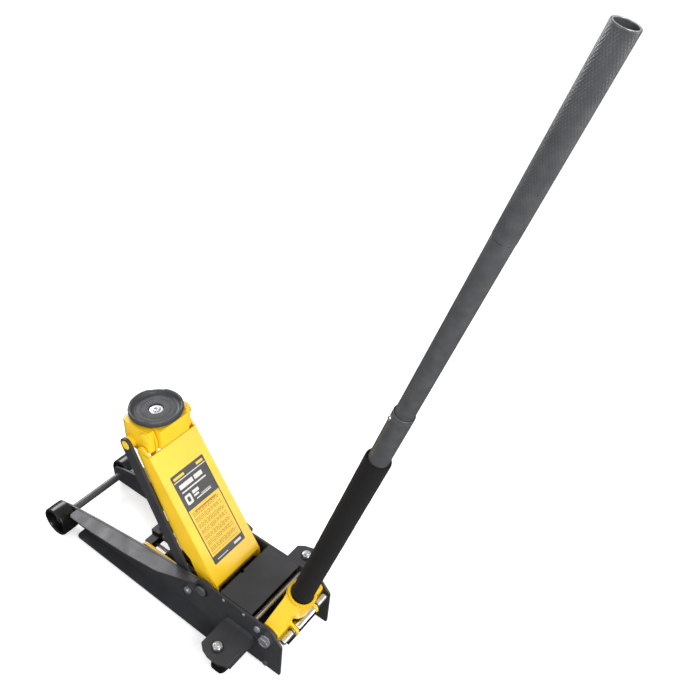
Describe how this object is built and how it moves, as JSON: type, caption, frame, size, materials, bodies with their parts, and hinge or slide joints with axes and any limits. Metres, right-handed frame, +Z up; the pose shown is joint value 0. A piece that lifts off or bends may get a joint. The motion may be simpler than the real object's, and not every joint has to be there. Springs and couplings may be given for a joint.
{
  "type": "hydraulic trolley jack",
  "caption": "Hydraulic trolley jack on wheels and casters, with a lifting arm, a levelled dished saddle and a long two-part pump handle",
  "frame": {"origin": "middle of the bounding box on the floor, under the jack", "axes": "+X towards the lifting end with the front wheels, +Y to the jack's left, +Z up"},
  "size_m": [1.0174, 0.336, 1.2705],
  "materials": {
    "grey_enamel": "satin dark grey powder coat",
    "yellow_enamel": "gloss yellow enamel on pressed and cast steel",
    "zinc_steel": "bright zinc plated or ground steel",
    "dark_steel": "dark grey blackened steel",
    "black_enamel": "gloss black enamel",
    "black_wheel": "gloss black painted cast iron wheel",
    "black_foam": "matt closed-cell foam",
    "grey_casting": "satin grey painted casting"
  },
  "bodies": {
    "chassis": {"side_plate_left": "grey_enamel", "side_plate_right": "grey_enamel", "cover_plate": "grey_enamel", "base_plate": "black_enamel", "cross_rod": "zinc_steel", "front_axle": "dark_steel", "caster_bracket_left": "grey_enamel", "caster_bracket_right": "grey_enamel", "caster_bolt_left": "zinc_steel", "caster_bolt_right": "zinc_steel", "link_bolt_left": "zinc_steel", "link_bolt_right": "zinc_steel", "arm_shaft": "dark_steel", "shaft_clip_left": "dark_steel", "shaft_clip_right": "dark_steel", "shaft_spacer_left": "dark_steel", "shaft_spacer_right": "dark_steel", "yoke_bolt_left": "zinc_steel", "yoke_bolt_right": "zinc_steel", "pump_block": "black_enamel", "reservoir": "black_enamel", "ram_cylinder": "black_enamel"},
    "arm": {"lift_arm": "yellow_enamel", "ram_pin_left": "zinc_steel", "ram_pin_right": "zinc_steel"},
    "head": {"saddle_head": "yellow_enamel", "head_pin": "yellow_enamel", "link_pin_left": "yellow_enamel", "link_pin_right": "yellow_enamel", "saddle_bolt": "zinc_steel"},
    "saddle": {"saddle": "grey_casting"},
    "ram": {"ram_rod": "zinc_steel", "crosshead": "black_enamel", "pull_link_left": "yellow_enamel", "pull_link_right": "yellow_enamel", "ram_spring_left": "dark_steel", "ram_spring_right": "dark_steel"},
    "yoke": {"handle_yoke": "yellow_enamel", "roller_shaft": "zinc_steel"},
    "roller": {"pump_roller": "zinc_steel"},
    "handle": {"lower_handle_tube": "dark_steel", "foam_sleeve": "black_foam", "upper_handle_tube": "dark_steel", "knurled_grip": "dark_steel", "release_drive": "dark_steel"},
    "button": {"snap_button": "zinc_steel"},
    "plunger": {"pump_plunger": "zinc_steel", "pump_spring": "dark_steel"},
    "valve": {"release_valve": "dark_steel"},
    "link_left": {"link_bar_left": "grey_enamel"},
    "wheel_left": {"front_wheel_left": "black_wheel"},
    "fork_left": {"caster_fork_left": "grey_enamel", "caster_axle_left": "zinc_steel"},
    "caster_left": {"caster_wheel_left": "black_wheel"},
    "link_right": {"link_bar_right": "grey_enamel"},
    "wheel_right": {"front_wheel_right": "black_wheel"},
    "fork_right": {"caster_fork_right": "grey_enamel", "caster_axle_right": "zinc_steel"},
    "caster_right": {"caster_wheel_right": "black_wheel"}
  },
  "joints": [
    {"name": "arm_lift", "type": "hinge", "parent": "chassis", "child": "arm", "pos_m": [0.034, 0, 0.112], "axis": [0, -1, 0], "range_deg": [-65, 5]},
    {"name": "head_level", "type": "hinge", "parent": "arm", "child": "head", "pos_m": [0.183, 0, 0.425], "axis": [0, -1, 0], "range_deg": [-5.2, 65.2]},
    {"name": "saddle_spin", "type": "hinge", "parent": "head", "child": "saddle", "pos_m": [0.2083, 0, 0.44], "axis": [0, 0, 1], "continuous": true},
    {"name": "link_swing_left", "type": "hinge", "parent": "chassis", "child": "link_left", "pos_m": [0.074, 0.07, 0.081], "axis": [0, -1, 0], "range_deg": [-65.2, 5.2]},
    {"name": "link_swing_right", "type": "hinge", "parent": "chassis", "child": "link_right", "pos_m": [0.074, -0.07, 0.081], "axis": [0, -1, 0], "range_deg": [-65.2, 5.2]},
    {"name": "ram_slide", "type": "slide", "parent": "chassis", "child": "ram", "axis": [1, 0, 0], "range_m": [-0.0672, 0.0054], "deforming": ["ram_spring_left", "ram_spring_right"]},
    {"name": "handle_pump", "type": "hinge", "parent": "chassis", "child": "yoke", "pos_m": [-0.135, 0, 0.1], "axis": [0, -1, 0], "range_deg": [0, 45], "stiffness_Nm_per_rad": 12, "springref_deg": -57.3},
    {"name": "plunger_slide", "type": "slide", "parent": "chassis", "child": "plunger", "axis": [0.4226, 0, -0.9063], "range_m": [0, 0.0238], "deforming": ["pump_spring"]},
    {"name": "roller_spin", "type": "hinge", "parent": "yoke", "child": "roller", "pos_m": [-0.166, 0, 0.106], "axis": [0, 1, 0], "continuous": true},
    {"name": "handle_twist", "type": "hinge", "parent": "yoke", "child": "handle", "pos_m": [-0.14206, 0, 0.12294], "axis": [-0.294, 0, 0.9558], "range_deg": [0, 180]},
    {"name": "valve_turn", "type": "hinge", "parent": "chassis", "child": "valve", "pos_m": [-0.135, 0, 0.1], "axis": [-0.6428, 0, 0.766], "range_deg": [-0.2, 180.2]},
    {"name": "button_press", "type": "slide", "parent": "handle", "child": "button", "axis": [-0.7322, -0.6428, -0.2252], "range_m": [0, 0.004], "stiffness_N_per_m": 800, "springref_m": -0.002},
    {"name": "wheel_roll_left", "type": "hinge", "parent": "chassis", "child": "wheel_left", "pos_m": [0.4727, 0.1027, 0.0365], "axis": [0, 1, 0], "continuous": true},
    {"name": "caster_swivel_left", "type": "hinge", "parent": "chassis", "child": "fork_left", "pos_m": [-0.0645, 0.141, 0.068], "axis": [0, 0, 1], "continuous": true},
    {"name": "caster_roll_left", "type": "hinge", "parent": "fork_left", "child": "caster_left", "pos_m": [-0.0645, 0.129, 0.025], "axis": [1, 0, 0], "continuous": true},
    {"name": "wheel_roll_right", "type": "hinge", "parent": "chassis", "child": "wheel_right", "pos_m": [0.4727, -0.1027, 0.0365], "axis": [0, 1, 0], "continuous": true},
    {"name": "caster_swivel_right", "type": "hinge", "parent": "chassis", "child": "fork_right", "pos_m": [-0.0645, -0.141, 0.068], "axis": [0, 0, 1], "continuous": true},
    {"name": "caster_roll_right", "type": "hinge", "parent": "fork_right", "child": "caster_right", "pos_m": [-0.0645, -0.129, 0.025], "axis": [1, 0, 0], "continuous": true}
  ],
  "couplings": [
    {"joint": "head_level", "follows": "arm_lift", "ratio": -1},
    {"joint": "link_swing_left", "follows": "arm_lift", "ratio": 1},
    {"joint": "link_swing_right", "follows": "arm_lift", "ratio": 1},
    {"joint": "ram_slide", "follows": "arm_lift", "m_per_rad": 0.059},
    {"joint": "plunger_slide", "follows": "handle_pump", "m_per_rad": 0.0299},
    {"joint": "valve_turn", "follows": "handle_twist", "ratio": 1}
  ]
}
